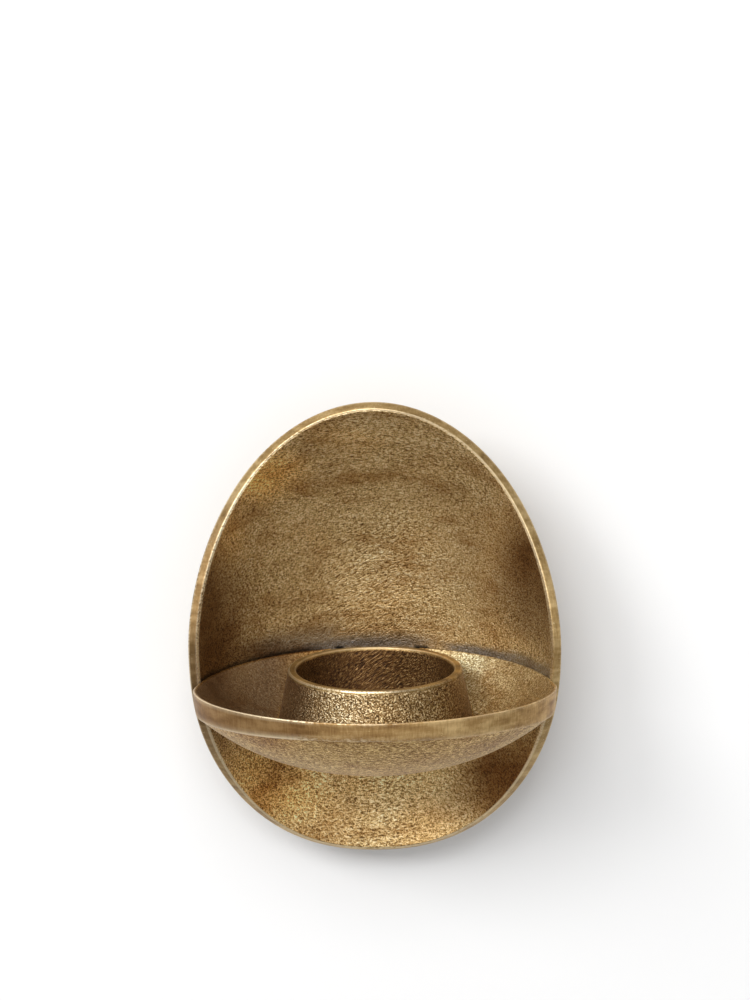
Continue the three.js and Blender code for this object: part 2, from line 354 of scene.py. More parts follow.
def castBrass(name, look):
    # One recipe for the castings: a sand-cast skin with patina and stains, ground satin faces, edges worn
    # bright, and the tint of the torch along the brazed joint; the marks also paint highlights and shade
    # into the colour.
    material, tree = newMaterial(name)
    where = ownPlace(tree)
    mark = {
        key: addNode(tree, "Attribute", attribute_name=key).outputs["Fac"]
        for key in markNames
    }
    grain = strokesOf(tree, where, 0, look["levelLength"], look["grainScale"])
    for key in ("rising", "falling"):
        strokes = strokesOf(tree, where, look[key + "Tilt"], look[key + "Length"], look[key + "Scale"])
        grain = between(tree, mark[key], grain, strokes)
    speck = noiseOf(tree, where, look["grainScale"] * look["speckFiner"], 1.5)
    lumps = noiseOf(tree, where, look["lumpScale"])
    cloud = noiseOf(tree, where, look["cloudScale"], 3.0, 0.55)
    drift = noiseOf(tree, where, look["cloudScale"] * look["driftWider"], 2.0, 0.5, 0.4)
    stain = noiseOf(tree, stretched(tree, where, look["stainStretch"]), look["stainScale"], 4.0, 0.62, 0.3)
    brush = noiseOf(tree, stretched(tree, where, look["brushStretch"]), look["brushScale"], 3.0, 0.6)
    rubbed = noiseOf(tree, stretched(tree, where, look["rubbedStretch"]), look["rubbedScale"], 3.0, 0.55)

    # the cast colour follows the skin, which is smoother where the torch went and in the bore
    speckShare = spread(tree, mark["bore"], 0.0, 1.0, look["speckShare"], look["boreSpeck"])
    skin = between(tree, speckShare, grain, speck)
    tone = plus(tree, skin, times(tree, mathsOf(tree, "SUBTRACT", cloud, 0.5), look["cloudDepth"]))
    calm = mathsOf(tree, "MAXIMUM", mark["tint"], times(tree, mark["bore"], look["boreCalm"]))
    tone = between(tree, times(tree, calm, look["calmShare"]), tone, 0.5)
    cast = rampOf(tree, tone, look["cast"])
    cast = tinted(tree, spread(tree, drift, *look["driftRange"], 0, look["driftShare"]), cast, look["drift"])
    cast = tinted(tree, spread(tree, stain, *look["stainRange"], 0, look["stainShare"]), cast, look["stain"])
    # painted shade inside the bore
    cast = tinted(tree, times(tree, mark["bore"], look["boreShare"]), cast, look["boreColour"])

    # ground faces keep patina in their pits
    polish = plus(tree, times(tree, brush, look["brushShare"]), times(tree, rubbed, look["rubbedShare"]))
    ground = rampOf(tree, plus(tree, polish, times(tree, cloud, look["groundCloud"])), look["groundStops"])
    clean = times(tree, mark["ground"], spread(tree, skin, *look["pitRange"], look["pitClean"], 1.0), True)
    colour = mixOf(tree, clean, cast, ground)
    uneven = spread(tree, drift, *look["unevenRange"])
    # the marks in turn: warm patina, golden patina with painted highlights, dark patina with painted shade,
    # and the blue tint with painted shade
    for key in ("warm", "gold", "dark", "tint"):
        colour = tinted(tree, times(tree, mark[key], uneven, True), colour, look[key])
    # worn edges made bright, which also paints a highlight where they face the light
    broken = times(tree, mark["worn"], spread(tree, plus(tree, grain, drift), *look["wornRange"]), True)
    colour = mixOf(tree, broken, colour, (*look["bright"], 1))
    # painted black shade in the crevices and along the left joint
    colour = mixOf(tree, mark["crevice"], colour, (*look["crevice"], 1))

    castRough = spread(tree, skin, *look["skinRange"], look["roughness"] + 0.08, look["roughness"] - 0.08)
    groundRough = spread(tree, brush, 0.3, 0.7, look["groundRough"] - 0.06, look["groundRough"] + 0.08)
    rough = between(tree, mark["ground"], castRough, groundRough)
    rough = between(tree, broken, rough, look["wornRough"])

    softer = spread(tree, mark["ground"], 0.0, 1.0, 1.0, look["groundGrain"])
    height = plus(tree, times(tree, skin, softer), times(tree, lumps, look["lumpShare"]))
    height = plus(tree, height, times(tree, brush, look["brushDepth"]))
    normal = bumpOf(tree, height, look["grainDepth"])
    dress(tree, {
        "Base Color": colour, "Metallic": look["metallic"], "Roughness": rough, "Normal": normal,
        "Coat Weight": look["coat"], "Coat Roughness": look["coatRoughness"], "Coat Normal": normal,
    })
    return material


def changed(base, **changes):
    return {**base, **changes}


brassLook = {
    "grainScale": 2200, "grainDepth": 0.45, "levelLength": 2.3,
    "risingTilt": 28, "risingLength": 2.2, "risingScale": 2200,
    "fallingTilt": -24, "fallingLength": 3.0, "fallingScale": 2200,
    "speckFiner": 1.3, "speckShare": 0.36, "boreSpeck": 0.14, "boreCalm": 0.6, "calmShare": 0.45,
    "lumpScale": 260, "lumpShare": 0.3, "cloudScale": 45, "cloudDepth": 0.1, "skinRange": (0.35, 0.68),
    "roughness": 0.5, "metallic": 0.85, "coat": 0.08, "coatRoughness": 0.36,
    "cast": [
        (0.385, rgb(114, 85, 48)), (0.47, rgb(190, 160, 106)),
        (0.53, rgb(230, 202, 148)), (0.615, rgb(255, 243, 204)),
    ],
    "driftWider": 0.55, "driftRange": (0.42, 0.66), "driftShare": 0.7, "drift": rgb(236, 216, 188),
    "stainScale": 130, "stainStretch": (0.35, 1, 1), "stainRange": (0.48, 0.66), "stainShare": 0.8,
    # the bore colour is painted shade; the golden tint also paints highlights; the dark and blue tints also
    # paint shade; the crevice colour is painted black shade; the bright colour is worn metal with a painted
    # highlight
    "stain": rgb(206, 184, 154), "boreShare": 0.8, "boreColour": rgb(176, 148, 122),
    "unevenRange": (0.3, 0.6, 0.55, 1.0), "warm": (1.32, 1.02, 0.55), "gold": (1.62, 1.62, 1.5),
    "dark": (0.36, 0.27, 0.19), "tint": (0.3, 0.38, 0.72), "crevice": rgb(14, 10, 6),
    "groundStops": [(0.38, rgb(124, 94, 52)), (0.5, rgb(170, 140, 90)), (0.62, rgb(208, 180, 130))],
    "brushScale": 2600, "brushStretch": (1, 1, 0.12), "brushShare": 0.22, "brushDepth": 0.03,
    "rubbedScale": 520, "rubbedStretch": (0.16, 0.5, 1), "rubbedShare": 0.38, "groundCloud": 0.4,
    "pitRange": (0.66, 0.62), "pitClean": 0.35, "groundGrain": 0.16, "groundRough": 0.5,
    "wornRange": (0.74, 1.0), "wornRough": 0.38, "bright": (1.15, 0.98, 0.68),
}
shellBrass = castBrass("cast_brass_shell", brassLook)
dishBrass = castBrass("cast_brass_dish", changed(
    brassLook, grainScale=2300, grainDepth=0.3,
    gold=(1.12, 1.6, 2.8), dark=(0.54, 0.46, 0.4), tint=(0.54, 0.61, 1.12),
    cast=[
        (0.37, rgb(114, 80, 42)), (0.47, rgb(164, 130, 76)),
        (0.53, rgb(196, 163, 102)), (0.63, rgb(240, 212, 154)),
    ],
    groundStops=[(0.38, rgb(134, 98, 54)), (0.5, rgb(182, 146, 92)), (0.62, rgb(222, 190, 134))],
))
cupBrass = castBrass("cast_brass_cup", changed(
    brassLook, grainScale=2250, grainDepth=0.42, levelLength=1.1, risingTilt=36, risingLength=6.0,
    risingScale=3200, tint=(0.72, 0.66, 0.78), gold=(1.15, 1.22, 1.4), dark=(0.5, 0.4, 0.38), coat=0.12,
    # full painted shade in the cup's bore
    roughness=0.42, boreShare=1.0, boreColour=rgb(178, 160, 138), stainShare=0.3,
    cast=[
        (0.4, rgb(66, 47, 25)), (0.47, rgb(128, 100, 59)),
        (0.53, rgb(168, 140, 93)), (0.6, rgb(246, 228, 186)),
    ],
    groundStops=[(0.38, rgb(100, 76, 40)), (0.5, rgb(148, 121, 72)), (0.62, rgb(196, 168, 114))],
))

# back shell
print("back shell")
shell = {
    "halfWidth": 45.3, "topRise": 61.7, "bottomDrop": 60.8, "widestLevel": 13.4, "jointLevel": 5.5,
    "topFullness": 1.94, "bottomFullness": 2.24, "sideDepth": 34.5, "topLean": 28.6, "wall": 2.7,
    "edgeRounding": 0.45, "around": 288, "frontRows": 96, "backRows": 56, "edgeRows": 4, "wallRows": 6,
    "frontWear": (1.0, 1.0, 0.8, 0.1), "backWear": 0.5,
    "lumpDepth": 0.06, "lumpSize": 5.5, "lumpCalm": 2.5, "rimWobble": 0.12, "wobbleRate": 2.6,
    "bossX": 17.0, "bossLevel": 30.0, "bossRadius": 5.0,
    "footX": 14.0, "footLevel": -26.0, "footRadius": 5.5,
    "bossGap": 2.0, "bossRounding": 0.3, "bossRoot": 1.3,
}
# Spots are share, middle and size. Bands are the place where a mark starts and the place where it is
# full: across to the left or right, up or down the shell, or over the joint.
shellFinish = {
    # golden spots: patina rubbed thin at the upper left, and painted highlights in the bowl under the dish
    "goldSpots": [
        (0.6, (-28, 58), (15, 11)), (0.35, (-37, 47), (8, 16)), (0.3, (39, 11), (6, 4)),
        (0.7, (-24, -28), (24, 24)), (0.15, (2, -42), (24, 14)), (0.75, (3, -27), (26, 12)),
    ],
    # painted shade at both sides, at the lower right under the dish and over the joint, with a few brown
    # stains
    "darkSpots": [
        (1.5, (-47, 20), (20, 42)), (1.3, (45, 30), (20, 30)), (1.3, (34, -29), (17, 17)),
        (1.3, (-38, 6), (18, 9)), (0.5, (-26, -26), (10, 8)), (0.4, (-36, 44), (9, 18)),
        (0.45, (-13, 64), (13, 5)), (0.3, (-20, 55), (14, 6)), (0.2, (18, 50), (16, 7)),
        (0.3, (2, 11), (30, 9)), (0.22, (30, 32), (20, 32)),
    ],
    "warmSpots": [
        (0.8, (-28, 58), (17, 12)), (0.4, (-38, 42), (9, 14)), (0.35, (-8, 66), (16, 7)),
        (0.15, (33, 12), (9, 7)), (0.5, (-27, -24), (19, 20)), (0.45, (34, -30), (18, 18)),
        (0.12, (20, -42), (16, 9)),
    ],
    "risingSpots": [(1.0, (4, 26), (40, 46))], "fallingSpots": [(1.0, (34, -32), (34, 28))],
    # the rim's worn edges carry a painted highlight towards the upper left
    "leastWorn": 0.45, "wornLeft": (5, 25), "wornUp": (-8, 5),
    "rimTint": 0.2, "rimTintLeft": (20, 40),
    # painted shade on the left rim
    "rimDark": 0.85, "rimDarkLeft": (26, 42), "rimDarkLevel": 20, "rimDarkUp": (50, 20),
    # over the joint a blue-grey tint: the torch's at the right; over the cup it also paints shade
    "jointStart": (-2.5, -1.0), "rightTint": (14, 22), "rightOver": (3.2, 1.3),
    "cupMiddle": -4, "cupTint": (26, 12), "cupOver": (5.5, 0.8),
    "leftShare": 0.7, "leftTint": (6, 14), "leftEnd": (38, 26), "leftOver": (9, 2.5),
    "shadeLeft": (10, 20), "shadeOver": (2.6, 0.2),
    # painted black shade in the crevices behind the cup and along the left joint
    "crevices": ((-9.5, 0.7), (12.2, 1.3)), "creviceFade": 0.9, "creviceOver": (0.7, 0.25),
    "lineShare": 0.7, "lineLeft": (12, 22), "lineOver": (1.1, 0.3),
}
topReach = shell["topRise"] + shell["widestLevel"]
bowRadius = (shell["halfWidth"] ** 2 + shell["sideDepth"] ** 2) / (2 * shell["sideDepth"])
archRadius = (topReach ** 2 + shell["topLean"] ** 2) / (2 * shell["topLean"])


def sag(radius, distance):
    return radius - math.sqrt(radius * radius - distance * distance)


def shellForward(x, level):
    return sag(bowRadius, x) + sag(archRadius, level)


def onShell(x, level, depth):
    # a point on the shell's inner face, moved by depth towards the wall
    slopeX = x / math.sqrt(bowRadius ** 2 - x ** 2)
    slopeUp = level / math.sqrt(archRadius ** 2 - level ** 2)
    step = depth / math.sqrt(1 + slopeX ** 2 + slopeUp ** 2)
    return placed(x + step * slopeX, shellForward(x, level) - step, level + step * slopeUp)


def keptInFront(point, gap):
    # nothing behind the shell's inner face: what would go through it is pressed flat against it
    x, forward, level = measured(point)
    if abs(x) >= bowRadius - 0.5:
        return point
    return placed(x, max(forward, shellForward(x, level) + gap), level)


def keptInside(point, gap):
    # the same for a piece that lies along the shell's side: it is drawn in towards the bow's axis
    x, forward, level = measured(point)
    axis = bowRadius + sag(archRadius, level)
    pull = min(1, (bowRadius - gap) / math.hypot(x, forward - axis))
    return placed(x * pull, axis + (forward - axis) * pull, level)


def shellStations():
    # share of the way out, inset from the rim, depth behind the inner face, and the ground and worn marks
    rounding, wall, quarterTurns = shell["edgeRounding"], shell["wall"], quarter(shell["edgeRows"])
    stations = []
    for k in range(shell["frontRows"] + 1):
        share = k / shell["frontRows"]
        stations.append((share, share * rounding, 0.0, 0.0, 0.0))
    for turn, worn in zip(quarterTurns, shell["frontWear"]):
        stations.append((1, rounding * (1 - math.sin(turn)), rounding * (1 - math.cos(turn)), 1.0, worn))
    for k in range(1, shell["wallRows"]):
        stations.append((1, 0.0, rounding + (wall - 2 * rounding) * k / shell["wallRows"], 1.0, 0.0))
    for turn in [0, *quarterTurns]:
        inset, depth = rounding * (1 - math.cos(turn)), wall - rounding * (1 - math.sin(turn))
        stations.append((1, inset, depth, 1.0, shell["backWear"]))
    for k in range(shell["backRows"] - 1, -1, -1):
        share = k / shell["backRows"]
        stations.append((share, share * rounding, wall, 0.0, 0.0))
    return stations


stations = shellStations()


def rimReach(angle):
    side, up = math.sin(angle), math.cos(angle)
    fullness = shell["topFullness"] if up >= 0 else shell["bottomFullness"]
    rise = shell["topRise"] if up >= 0 else shell["bottomDrop"]
    reach = (abs(side) ** fullness + abs(up) ** fullness) ** (-1 / fullness)
    return side * reach * shell["halfWidth"], up * reach * rise


def shellPoint(column, row):
    angle = 2 * math.pi * column / shell["around"]
    share, inset, depth, ground, _ = stations[row]
    outX, outUp = rimReach(angle)
    size = math.hypot(outX, outUp)
    inset += shell["rimWobble"] * (0.5 + 0.5 * ringNoise(angle, shell["wobbleRate"], 7.7)) * share
    x = outX * (share - inset / size)
    level = shell["widestLevel"] + outUp * (share - inset / size)
    if ground == 0:
        calm = min(1, (1 - share) * size / shell["lumpCalm"])
        here = onShell(x, level, depth)
        bulge = lump(here, shell["lumpSize"], 1.7) + 0.5 * lump(here, shell["lumpSize"] / 2, 4.4)
        depth += shell["lumpDepth"] * calm * bulge
    return onShell(x, level, depth)


def faceMarks(x, level):
    # the inner face: stains, painted highlights and shade, the run of the grain, and a blue-grey tint over
    # the joint, which is narrow at the right, low over the cup and wide at the left: the torch's tint, and
    # painted shade over the cup
    look, above = shellFinish, level - shell["jointLevel"]
    joint = ease(above, *look["jointStart"])
    ragged = above + noise.noise(Vector((x / 4, 3.3, 0.7)))
    right = ease(x, *look["rightTint"]) * ease(ragged, *look["rightOver"])
    overCup = ease(abs(x - look["cupMiddle"]), *look["cupTint"]) * ease(above, *look["cupOver"])
    left = look["leftShare"] * ease(-x, *look["leftTint"]) * ease(-x, *look["leftEnd"])
    left *= ease(above, *look["leftOver"])
    shade = ease(-x, *look["shadeLeft"]) * ease(above, *look["shadeOver"])
    # painted shade: black in the crevices behind the cup and a dark line along the left joint
    behindCup = max(ease(abs(x - at), reach + look["creviceFade"], reach) for at, reach in look["crevices"])
    line = look["lineShare"] * ease(-x, *look["lineLeft"]) * ease(above, *look["lineOver"])
    return {
        "tint": max(right, overCup, left) * joint,
        "gold": strongest(look["goldSpots"], x, level),
        "dark": max(strongest(look["darkSpots"], x, level), shade * joint),
        "warm": strongest(look["warmSpots"], x, level),
        "crevice": max(behindCup * ease(above, *look["creviceOver"]), line) * joint,
        "rising": strongest(look["risingSpots"], x, level),
        "falling": strongest(look["fallingSpots"], x, level),
    }


def shellMarks(column, row, point):
    _, _, depth, ground, worn = stations[row]
    x, _, level = measured(point)
    look = shellFinish
    if ground == 0:
        return faceMarks(x, level) if depth < 1 else {}
    # worn rim edges get a painted highlight where they face the upper left
    lit = ease(-x, *look["wornLeft"]) * ease(level, *look["wornUp"])
    # painted shade on the left rim, around its middle height
    beside = ease(abs(level - look["rimDarkLevel"]), *look["rimDarkUp"])
    return {
        "ground": ground, "worn": worn * fromLeast(look["leastWorn"], lit),
        "tint": look["rimTint"] * ease(-x, *look["rimTintLeft"]),
        "dark": look["rimDark"] * ease(-x, *look["rimDarkLeft"]) * beside,
    }


backShell = pressedSkin("back_shell_casting", shell["around"], len(stations) - 1, shellPoint, shellMarks)


def addBoss(x, level, radius):
    # a short round boss along y, its open edge rounded and its root pressed into the shell's wall
    frontY, backY = -pointAhead - shellForward(x, level), -shell["bossGap"]
    middle = (frontY + backY) / 2
    boss = addRod("boss", radius, backY - frontY, (x, middle, level - pointAbove), True, 64)
    bevelEdges(boss, lambda a, b: min(a.y, b.y) > (backY - hair) * mm, shell["bossRounding"], 4)
    for vertex in boss.data.vertices:
        if vertex.co.y < middle * mm:
            acrossX, _, up = measured(vertex.co)
            vertex.co.y = placed(0, shellForward(acrossX, up), 0).y + shell["bossRoot"] * mm
    return boss


for kind in ("boss", "foot"):
    for side in (-1, 1):
        boss = addBoss(side * shell[kind + "X"], shell[kind + "Level"], shell[kind + "Radius"])
        cutOrJoin(backShell, boss, "UNION")
finishPiece(backShell, shellBrass, "shell_brass", "back_shell")

# drip dish
print("drip dish")
dish = {
    "rimLevel": shell["jointLevel"], "centreForward": 40.5, "frontReach": 33.0, "fullness": 1.87,
    "depth": 21.0, "floorThickness": 4.0, "lipWidth": 0.8, "lipRounding": 0.2,
    "bandFront": 4.85, "bandSide": 6.7, "bandTaper": 0.5, "rearTurn": (0, 0.55),
    "undersideFront": 2.6, "undersideRear": 5.5, "insideFront": 3.2, "insideRear": 6.0,
    "gap": 0.3, "around": 288, "undersideRows": 44, "insideRows": 40, "bandRows": 5, "rowBunching": 1.7,
    "lowWear": (0.3, 0.5, 0.6, 0.45, 0.3, 0.15), "topWear": (0.3, 0.8, 1.0, 0.8),
    "topRounding": 0.22, "lowRounding": 1.1, "lowInset": 0.6, "lumpDepth": 0.045, "lumpSize": 4.5,
    "bandWobble": 0.16, "wobbleRate": 3.1, "bandSway": 0.25, "swayRate": 1.7,
    "drumRadius": 28.7, "drumLevel": -14.0, "drumTop": -9.0,
    "padRadius": 6.0, "padLevel": -15.9, "padTop": -12.0,
    "pillarRounding": 0.6, "pocketGap": 0.05, "pocketOver": 6.0,
}
dishFinish = {
    # painted highlights on the dish's inside
    "paleSpots": [(1.0, (26, 9), (16, 11)), (0.9, (-29, 36), (7, 12))],
    # painted shade towards both ends of the dish's inside
    "darkSpots": [(1.0, (43, 38), (12, 16)), (1.0, (-40, 38), (12, 16))],
    # the lip's worn edge carries a painted highlight, strongest at the left and weaker at the far left end
    "freeRim": (-0.16, -0.02), "leastWorn": 0.3, "wornLeft": (-12, 12),
    # painted shade on the underside and at the band's left end
    "endWorn": 0.45, "wornEnd": (-40, -22), "underDark": 0.1, "bandDark": 1.35,
    "bandDarkLeft": (-22, 35), "goldShare": 0.6, "goldRight": (-10, 15), "tintLeft": (14, 30),
}
cup = {
    "boreRadius": 20.5, "lipWidth": 2.0, "footRadius": 25.9, "mouthLevel": 5.4, "footLevel": -11.3,
    "floorLevel": -8.0, "lipRounding": 0.45, "wallCuts": 30, "vertices": 192, "forward": 21.2,
    "lumpDepth": 0.07, "lumpSize": 2.6, "gap": 0.02, "crevice": 0.5,
    "crevices": ((-9.8, 2.0, 0.8), (12.2, 2.8, 1.2)), "rimDepth": 0.66, "lumpsBelow": (0.6, 1.8),
    "lumpsEnd": 12, "floorRings": 3, "ringShare": 0.3,
}
mouthRadius = cup["boreRadius"] + cup["lipWidth"]
cupAxis = -pointAhead - cup["forward"]
dishHalfWidth = math.sqrt((bowRadius - dish["gap"]) ** 2 - (bowRadius - dish["centreForward"]) ** 2)


def dishReach(angle):
    side, front = math.sin(angle), math.cos(angle)
    if front >= 0:
        power = dish["fullness"]
        across = abs(side / dishHalfWidth) ** power + abs(front / dish["frontReach"]) ** power
        return across ** (-1 / power)
    back = bowRadius - dish["centreForward"]
    return front * back + math.sqrt((bowRadius - dish["gap"]) ** 2 - (side * back) ** 2)


def bandHeight(angle):
    return dish["bandFront"] + (dish["bandSide"] - dish["bandFront"]) * (1 - math.cos(angle))


def towardsRear(angle, frontValue, rearValue):
    return frontValue + (rearValue - frontValue) * ease(-math.cos(angle), *dish["rearTurn"])


def dishStations():
    # kind of surface, share or turn along it, and the ground and worn marks
    rows = []
    for k in range(dish["undersideRows"] + 1):
        rows.append(("under", 1 - (1 - k / dish["undersideRows"]) ** dish["rowBunching"], 0.0, 0.0))
    rows += [("lowEdge", turn, 1.0, worn) for turn, worn in zip(quarter(6), dish["lowWear"])]
    rows += [("band", k / dish["bandRows"], 1.0, 0.0) for k in range(1, dish["bandRows"])]
    rows += [("topEdge", turn, 1.0, worn) for turn, worn in zip([0, *quarter(3)], dish["topWear"])]
    rows += [("lipEdge", turn, 0.4, 0.1) for turn in [0, *quarter(2)]]
    for k in range(1, dish["insideRows"] + 1):
        rows.append(("inside", 1 - (k / dish["insideRows"]) ** dish["rowBunching"], 0.0, 0.0))
    return rows


dishRows = dishStations()


def dishPoint(column, row):
    angle = 2 * math.pi * column / dish["around"]
    kind, share, _, _ = dishRows[row]
    reach = dishReach(angle) - dish["bandWobble"] * (0.5 + 0.5 * ringNoise(angle, dish["wobbleRate"], 1.9))
    band = bandHeight(angle) + dish["bandSway"] * ringNoise(angle, dish["swayRate"], 4.2)
    top, low, taper, lip = dish["topRounding"], dish["lowRounding"], dish["bandTaper"], dish["lipWidth"]
    inset, soft = low * dish["lowInset"], dish["lipRounding"]
    if kind == "under":
        power = towardsRear(angle, dish["undersideFront"], dish["undersideRear"])
        away, drop = share * (reach - taper - inset), band + (dish["depth"] - band) * (1 - share ** power)
    elif kind == "lowEdge":
        away, drop = reach - taper - inset * (1 - math.sin(share)), band - low * (1 - math.cos(share))
    elif kind == "band":
        drop = (band - low) + (top - band + low) * share
        away = reach - taper * (drop / band)
    elif kind == "topEdge":
        away, drop = reach - top * (1 - math.cos(share)), top * (1 - math.sin(share))
    elif kind == "lipEdge":
        away, drop = reach - lip + soft * (1 - math.sin(share)), soft * (1 - math.cos(share))
    else:
        power = towardsRear(angle, dish["insideFront"], dish["insideRear"])
        away = share * (reach - lip)
        drop = max(soft, (dish["depth"] - dish["floorThickness"]) * (1 - share ** power))
    forward = dish["centreForward"] + away * math.cos(angle)
    point = placed(away * math.sin(angle), forward, dish["rimLevel"] - drop)
    if kind in ("under", "inside") and 0.02 < share < 0.999:
        calm = min(1, (1 - share) * 8)
        bulge = dish["lumpDepth"] * calm * lump(point, dish["lumpSize"], 3.1)
        point.z += bulge * mm
        point.y += bulge * mm * math.cos(angle) * share
    return keptInFront(point, dish["gap"])


def dishMarks(column, row, point):
    # the lip is only ground and worn where it stands free of the shell; its worn edge carries a painted
    # highlight
    kind, _, ground, worn = dishRows[row]
    x, forward, _ = measured(point)
    look = dishFinish
    free = ease(math.cos(2 * math.pi * column / dish["around"]), *look["freeRim"])
    lit = ease(-x, *look["wornLeft"]) * fromLeast(look["endWorn"], ease(x, *look["wornEnd"]))
    # painted light on the right of the dish's inside and on the rear of its band
    gold = look["goldShare"] * ease(x, *look["goldRight"])
    marks = {"ground": ground * free, "worn": worn * free * fromLeast(look["leastWorn"], lit)}
    if kind == "under":
        # painted shade on the underside
        marks["dark"] = look["underDark"]
    elif kind == "inside":
        # a purple-grey tint on the left of the dish's inside, which also paints shade there
        marks["tint"] = ease(-x, *look["tintLeft"])
        marks["gold"] = max(strongest(look["paleSpots"], x, forward), gold)
        marks["dark"] = strongest(look["darkSpots"], x, forward)
    else:
        # painted shade at the band's left end
        marks["dark"] = look["bandDark"] * ease(-x, *look["bandDarkLeft"])
        marks["gold"] = gold * (1 - free)
    return marks


dripDish = pressedSkin("drip_dish_casting", dish["around"], len(dishRows) - 1, dishPoint, dishMarks)


def addPocket(grown):
    # the room of the cup, open upwards, so that the cup stands in the dish's floor
    deselectAll()
    low, high = cup["footLevel"] - grown, cup["mouthLevel"]
    bpy.ops.mesh.primitive_cone_add(
        vertices=128, radius1=(cup["footRadius"] + grown) * mm, radius2=(mouthRadius + grown) * mm,
        depth=(high - low) * mm, location=placed(0, cup["forward"], (low + high) / 2),
    )
    pocket = named("pocket")
    settle(pocket)
    editFaces(pocket, lambda normal: normal.z > 0.9)
    extrude(0, 0, dish["pocketOver"] * mm)
    objectMode()
    return pocket


def addPillar(name, radius, lowLevel, highLevel, vertices=128):
    # a round pillar on the cup's axis, pressed against the shell where it would go through
    middle = (0, cupAxis, (lowLevel + highLevel) / 2 - pointAbove)
    pillar = addRod(name, radius, highLevel - lowLevel, middle, False, vertices)
    lowZ = (lowLevel - pointAbove + hair) * mm
    bevelEdges(pillar, lambda a, b: max(a.z, b.z) < lowZ, dish["pillarRounding"], 4)
    for vertex in pillar.data.vertices:
        vertex.co = keptInFront(vertex.co, dish["gap"])
    return pillar


cutOrJoin(dripDish, addPillar("drum", dish["drumRadius"], dish["drumLevel"], dish["drumTop"]), "UNION")
cutOrJoin(dripDish, addPillar("pad", dish["padRadius"], dish["padLevel"], dish["padTop"], 64), "UNION")
cutOrJoin(dripDish, addPocket(dish["pocketGap"]), "DIFFERENCE")
finishPiece(dripDish, dishBrass, "dish_brass", "drip_dish")

# tealight cup
print("tealight cup")
# heights are below the mouth, the rest is across: the lit edge and the painted highlight go out from their
# middles
cupFinish = {
    "edgeWidth": 0.7, "innerEdge": (0.02, 0.4), "innerWorn": 0.25, "outerEdge": (0.02, 0.5),
    "outerWorn": 0.3, "outerLit": 0.6, "litMiddle": -6, "lit": (15, 5), "goldMiddle": -7, "gold": (10, 2),
    # painted shade on the cup's left and right sides, with a purple tint
    "darkShare": 0.2, "darkLeft": (11, 20), "darkRight": (14, 24),
    "tintLeft": (11, 21), "tintShare": 0.7, "tintRight": (17, 23),
}
mouthZ = (cup["mouthLevel"] - pointAbove) * mm
floorZ = (cup["floorLevel"] - pointAbove) * mm
axisY = cupAxis * mm
cupHeight = cup["mouthLevel"] - cup["footLevel"]
cupPlace = (0, cupAxis, (cup["mouthLevel"] + cup["footLevel"]) / 2 - pointAbove)
tealightCup = addRod("tealight_cup_casting", cup["footRadius"], cupHeight, cupPlace, False, cup["vertices"])
editFaces(tealightCup, lambda normal: normal.z > 0.9)
draw = mouthRadius / cup["footRadius"]
bpy.ops.transform.resize(value=(draw, draw, 1))
inset(cup["lipWidth"])
extrude(0, 0, floorZ - mouthZ)
for _ in range(cup["floorRings"]):
    inset(cup["boreRadius"] * cup["ringShare"])
objectMode()


def fromAxis(point):
    return math.hypot(point.x, point.y - axisY) / mm


def isRimEdge(first, second):
    return min(first.z, second.z) > mouthZ - hair * mm and abs(fromAxis(first) - fromAxis(second)) < 0.2


editEdges(tealightCup, lambda a, b: abs(a.z - b.z) > 5 * mm)
bpy.ops.mesh.subdivide(number_cuts=cup["wallCuts"])
objectMode()
editEdges(tealightCup, isRimEdge)
bpy.ops.mesh.bevel(offset=cup["lipRounding"] * mm, segments=5, affect="EDGES", clamp_overlap=False)
objectMode()


def cupTouch(x):
    # two short crevices are left open behind the rim
    opened = sum(ease(abs(x - middle), reach, full) for middle, reach, full in cup["crevices"])
    return cup["gap"] + cup["crevice"] * opened


def cupMarks(x, radius, below, onRim):
    look, worn = cupFinish, 0.0
    if onRim:
        (innerFrom, innerTo), (outerFrom, outerTo) = look["innerEdge"], look["outerEdge"]
        if innerFrom < below < innerTo and radius < cup["boreRadius"] + look["edgeWidth"]:
            worn = look["innerWorn"]
        elif outerFrom < below < outerTo and radius > mouthRadius - look["edgeWidth"]:
            # a painted highlight on the outer edge just left of the middle
            worn = look["outerWorn"] + look["outerLit"] * ease(abs(x - look["litMiddle"]), *look["lit"])
        return {"ground": 1.0, "worn": worn}
    if radius < cup["boreRadius"] + 5 * hair:
        return {"bore": 1.0, "rising": 1.0}
    # the outside: a painted highlight left of the middle, and painted shade with a purple tint towards both
    # sides
    return {
        "gold": ease(abs(x - look["goldMiddle"]), *look["gold"]),
        "dark": max(look["darkShare"] * ease(-x, *look["darkLeft"]), ease(x, *look["darkRight"])),
        "tint": max(ease(-x, *look["tintLeft"]), look["tintShare"] * ease(x, *look["tintRight"])),
    }


found = []
for vertex in tealightCup.data.vertices:
    x, _, level = measured(vertex.co)
    radius, below = fromAxis(vertex.co), cup["mouthLevel"] - level
    across = Vector((vertex.co.x, vertex.co.y - axisY, 0)).normalized()
    onRim = below < cup["rimDepth"] and radius > cup["boreRadius"] - 0.1
    found.append(cupMarks(x, radius, below, onRim))
    if cup["lumpsBelow"][0] <= below < cup["lumpsEnd"] and not onRim:
        push = cup["lumpDepth"] * ease(below, *cup["lumpsBelow"]) * lump(vertex.co, cup["lumpSize"], 6.2)
        vertex.co += across * push * mm
    vertex.co = keptInFront(vertex.co, cupTouch(vertex.co.x / mm))
addMarks(tealightCup, found)
finishPiece(tealightCup, cupBrass, "cup_brass", "tealight_cup")

# braze, screws, washer, hanger plate and wall pads
print("fasteners and hanger")


